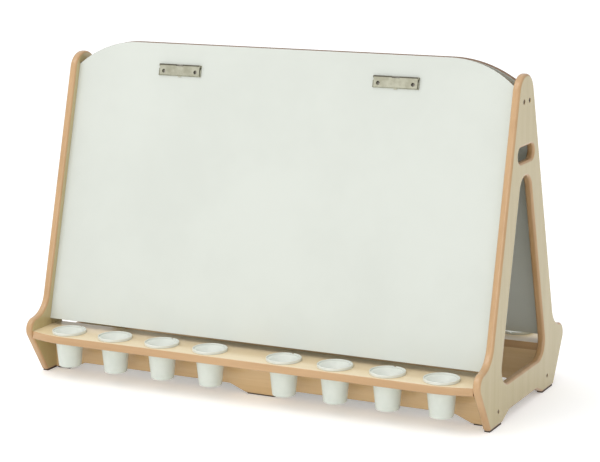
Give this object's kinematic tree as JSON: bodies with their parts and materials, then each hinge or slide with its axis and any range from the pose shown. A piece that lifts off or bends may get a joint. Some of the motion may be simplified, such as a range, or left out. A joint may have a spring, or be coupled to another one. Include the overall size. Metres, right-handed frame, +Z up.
{
  "type": "kids easel",
  "caption": "Double-sided A-shaped children's easel: leaning whiteboards with spring paper clips, wooden side panels and pot shelves holding lidded paint pots",
  "frame": {"origin": "floor level under the middle of the easel", "axes": "+X runs right along the width seen from the front, -Y is the front (the side the camera sees), +Z is up"},
  "size_m": [1.15, 0.554, 0.7788],
  "materials": {
    "birch_panel": "satin",
    "batten_wood": "satin",
    "dowel_wood": "matte",
    "whiteboard_face": "satin",
    "cup_plastic": "satin",
    "lid_plastic": "satin",
    "nickel_steel": "satin",
    "wire_steel": "satin",
    "zinc_screw": "satin",
    "foot_rubber": "matte"
  },
  "bodies": {
    "frame": {"clip_hinge_wires": "wire_steel", "clip_screws": "zinc_screw", "clip_springs": "wire_steel", "front_clip_base_left": "nickel_steel", "front_clip_base_right": "nickel_steel", "front_lower_rail": "birch_panel", "front_pot_shelf": "birch_panel", "front_top_batten": "batten_wood", "front_whiteboard": "whiteboard_face", "panel_foot_pads": "foot_rubber", "panel_screws_left": "zinc_screw", "panel_screws_right": "zinc_screw", "rail_foot_pads": "foot_rubber", "rear_clip_base_left": "nickel_steel", "rear_clip_base_right": "nickel_steel", "rear_lower_rail": "birch_panel", "rear_pot_shelf": "birch_panel", "rear_top_batten": "batten_wood", "rear_whiteboard": "whiteboard_face", "shelf_dowels": "dowel_wood", "side_panel_left": "birch_panel", "side_panel_right": "birch_panel"},
    "front_clip_jaw_left": {"front_clip_jaw_left": "nickel_steel"},
    "front_clip_jaw_right": {"front_clip_jaw_right": "nickel_steel"},
    "front_cup_1": {"front_cup_1": "cup_plastic"},
    "front_lid_1": {"front_lid_1": "lid_plastic"},
    "front_cup_2": {"front_cup_2": "cup_plastic"},
    "front_lid_2": {"front_lid_2": "lid_plastic"},
    "front_cup_3": {"front_cup_3": "cup_plastic"},
    "front_lid_3": {"front_lid_3": "lid_plastic"},
    "front_cup_4": {"front_cup_4": "cup_plastic"},
    "front_lid_4": {"front_lid_4": "lid_plastic"},
    "front_cup_5": {"front_cup_5": "cup_plastic"},
    "front_lid_5": {"front_lid_5": "lid_plastic"},
    "front_cup_6": {"front_cup_6": "cup_plastic"},
    "front_lid_6": {"front_lid_6": "lid_plastic"},
    "front_cup_7": {"front_cup_7": "cup_plastic"},
    "front_lid_7": {"front_lid_7": "lid_plastic"},
    "front_cup_8": {"front_cup_8": "cup_plastic"},
    "front_lid_8": {"front_lid_8": "lid_plastic"},
    "rear_clip_jaw_left": {"rear_clip_jaw_left": "nickel_steel"},
    "rear_clip_jaw_right": {"rear_clip_jaw_right": "nickel_steel"},
    "rear_cup_1": {"rear_cup_1": "cup_plastic"},
    "rear_lid_1": {"rear_lid_1": "lid_plastic"},
    "rear_cup_2": {"rear_cup_2": "cup_plastic"},
    "rear_lid_2": {"rear_lid_2": "lid_plastic"},
    "rear_cup_3": {"rear_cup_3": "cup_plastic"},
    "rear_lid_3": {"rear_lid_3": "lid_plastic"},
    "rear_cup_4": {"rear_cup_4": "cup_plastic"},
    "rear_lid_4": {"rear_lid_4": "lid_plastic"},
    "rear_cup_5": {"rear_cup_5": "cup_plastic"},
    "rear_lid_5": {"rear_lid_5": "lid_plastic"},
    "rear_cup_6": {"rear_cup_6": "cup_plastic"},
    "rear_lid_6": {"rear_lid_6": "lid_plastic"},
    "rear_cup_7": {"rear_cup_7": "cup_plastic"},
    "rear_lid_7": {"rear_lid_7": "lid_plastic"},
    "rear_cup_8": {"rear_cup_8": "cup_plastic"},
    "rear_lid_8": {"rear_lid_8": "lid_plastic"}
  },
  "joints": [
    {"name": "front_clip_left_hinge", "type": "hinge", "parent": "frame", "child": "front_clip_jaw_left", "pos_m": [-0.277, -0.02738, 0.73088], "axis": [-1, 0, 0], "range_deg": [0, 40], "stiffness_Nm_per_rad": 0.15, "springref_deg": -28.65},
    {"name": "front_clip_right_hinge", "type": "hinge", "parent": "frame", "child": "front_clip_jaw_right", "pos_m": [0.277, -0.02738, 0.73088], "axis": [-1, 0, 0], "range_deg": [0, 40], "stiffness_Nm_per_rad": 0.15, "springref_deg": -28.65},
    {"name": "front_cup_1_lift", "type": "slide", "parent": "frame", "child": "front_cup_1", "axis": [0, 0, 1], "range_m": [0, 0.11]},
    {"name": "front_lid_1_lift", "type": "slide", "parent": "front_cup_1", "child": "front_lid_1", "axis": [0, 0, 1], "range_m": [0, 0.035]},
    {"name": "front_cup_2_lift", "type": "slide", "parent": "frame", "child": "front_cup_2", "axis": [0, 0, 1], "range_m": [0, 0.11]},
    {"name": "front_lid_2_lift", "type": "slide", "parent": "front_cup_2", "child": "front_lid_2", "axis": [0, 0, 1], "range_m": [0, 0.035]},
    {"name": "front_cup_3_lift", "type": "slide", "parent": "frame", "child": "front_cup_3", "axis": [0, 0, 1], "range_m": [0, 0.11]},
    {"name": "front_lid_3_lift", "type": "slide", "parent": "front_cup_3", "child": "front_lid_3", "axis": [0, 0, 1], "range_m": [0, 0.035]},
    {"name": "front_cup_4_lift", "type": "slide", "parent": "frame", "child": "front_cup_4", "axis": [0, 0, 1], "range_m": [0, 0.11]},
    {"name": "front_lid_4_lift", "type": "slide", "parent": "front_cup_4", "child": "front_lid_4", "axis": [0, 0, 1], "range_m": [0, 0.035]},
    {"name": "front_cup_5_lift", "type": "slide", "parent": "frame", "child": "front_cup_5", "axis": [0, 0, 1], "range_m": [0, 0.11]},
    {"name": "front_lid_5_lift", "type": "slide", "parent": "front_cup_5", "child": "front_lid_5", "axis": [0, 0, 1], "range_m": [0, 0.035]},
    {"name": "front_cup_6_lift", "type": "slide", "parent": "frame", "child": "front_cup_6", "axis": [0, 0, 1], "range_m": [0, 0.11]},
    {"name": "front_lid_6_lift", "type": "slide", "parent": "front_cup_6", "child": "front_lid_6", "axis": [0, 0, 1], "range_m": [0, 0.035]},
    {"name": "front_cup_7_lift", "type": "slide", "parent": "frame", "child": "front_cup_7", "axis": [0, 0, 1], "range_m": [0, 0.11]},
    {"name": "front_lid_7_lift", "type": "slide", "parent": "front_cup_7", "child": "front_lid_7", "axis": [0, 0, 1], "range_m": [0, 0.035]},
    {"name": "front_cup_8_lift", "type": "slide", "parent": "frame", "child": "front_cup_8", "axis": [0, 0, 1], "range_m": [0, 0.11]},
    {"name": "front_lid_8_lift", "type": "slide", "parent": "front_cup_8", "child": "front_lid_8", "axis": [0, 0, 1], "range_m": [0, 0.035]},
    {"name": "rear_clip_left_hinge", "type": "hinge", "parent": "frame", "child": "rear_clip_jaw_left", "pos_m": [0.277, 0.02738, 0.73088], "axis": [1, 0, 0], "range_deg": [0, 40], "stiffness_Nm_per_rad": 0.15, "springref_deg": -28.65},
    {"name": "rear_clip_right_hinge", "type": "hinge", "parent": "frame", "child": "rear_clip_jaw_right", "pos_m": [-0.277, 0.02738, 0.73088], "axis": [1, 0, 0], "range_deg": [0, 40], "stiffness_Nm_per_rad": 0.15, "springref_deg": -28.65},
    {"name": "rear_cup_1_lift", "type": "slide", "parent": "frame", "child": "rear_cup_1", "axis": [0, 0, 1], "range_m": [0, 0.11]},
    {"name": "rear_lid_1_lift", "type": "slide", "parent": "rear_cup_1", "child": "rear_lid_1", "axis": [0, 0, 1], "range_m": [0, 0.035]},
    {"name": "rear_cup_2_lift", "type": "slide", "parent": "frame", "child": "rear_cup_2", "axis": [0, 0, 1], "range_m": [0, 0.11]},
    {"name": "rear_lid_2_lift", "type": "slide", "parent": "rear_cup_2", "child": "rear_lid_2", "axis": [0, 0, 1], "range_m": [0, 0.035]},
    {"name": "rear_cup_3_lift", "type": "slide", "parent": "frame", "child": "rear_cup_3", "axis": [0, 0, 1], "range_m": [0, 0.11]},
    {"name": "rear_lid_3_lift", "type": "slide", "parent": "rear_cup_3", "child": "rear_lid_3", "axis": [0, 0, 1], "range_m": [0, 0.035]},
    {"name": "rear_cup_4_lift", "type": "slide", "parent": "frame", "child": "rear_cup_4", "axis": [0, 0, 1], "range_m": [0, 0.11]},
    {"name": "rear_lid_4_lift", "type": "slide", "parent": "rear_cup_4", "child": "rear_lid_4", "axis": [0, 0, 1], "range_m": [0, 0.035]},
    {"name": "rear_cup_5_lift", "type": "slide", "parent": "frame", "child": "rear_cup_5", "axis": [0, 0, 1], "range_m": [0, 0.11]},
    {"name": "rear_lid_5_lift", "type": "slide", "parent": "rear_cup_5", "child": "rear_lid_5", "axis": [0, 0, 1], "range_m": [0, 0.035]},
    {"name": "rear_cup_6_lift", "type": "slide", "parent": "frame", "child": "rear_cup_6", "axis": [0, 0, 1], "range_m": [0, 0.11]},
    {"name": "rear_lid_6_lift", "type": "slide", "parent": "rear_cup_6", "child": "rear_lid_6", "axis": [0, 0, 1], "range_m": [0, 0.035]},
    {"name": "rear_cup_7_lift", "type": "slide", "parent": "frame", "child": "rear_cup_7", "axis": [0, 0, 1], "range_m": [0, 0.11]},
    {"name": "rear_lid_7_lift", "type": "slide", "parent": "rear_cup_7", "child": "rear_lid_7", "axis": [0, 0, 1], "range_m": [0, 0.035]},
    {"name": "rear_cup_8_lift", "type": "slide", "parent": "frame", "child": "rear_cup_8", "axis": [0, 0, 1], "range_m": [0, 0.11]},
    {"name": "rear_lid_8_lift", "type": "slide", "parent": "rear_cup_8", "child": "rear_lid_8", "axis": [0, 0, 1], "range_m": [0, 0.035]}
  ]
}
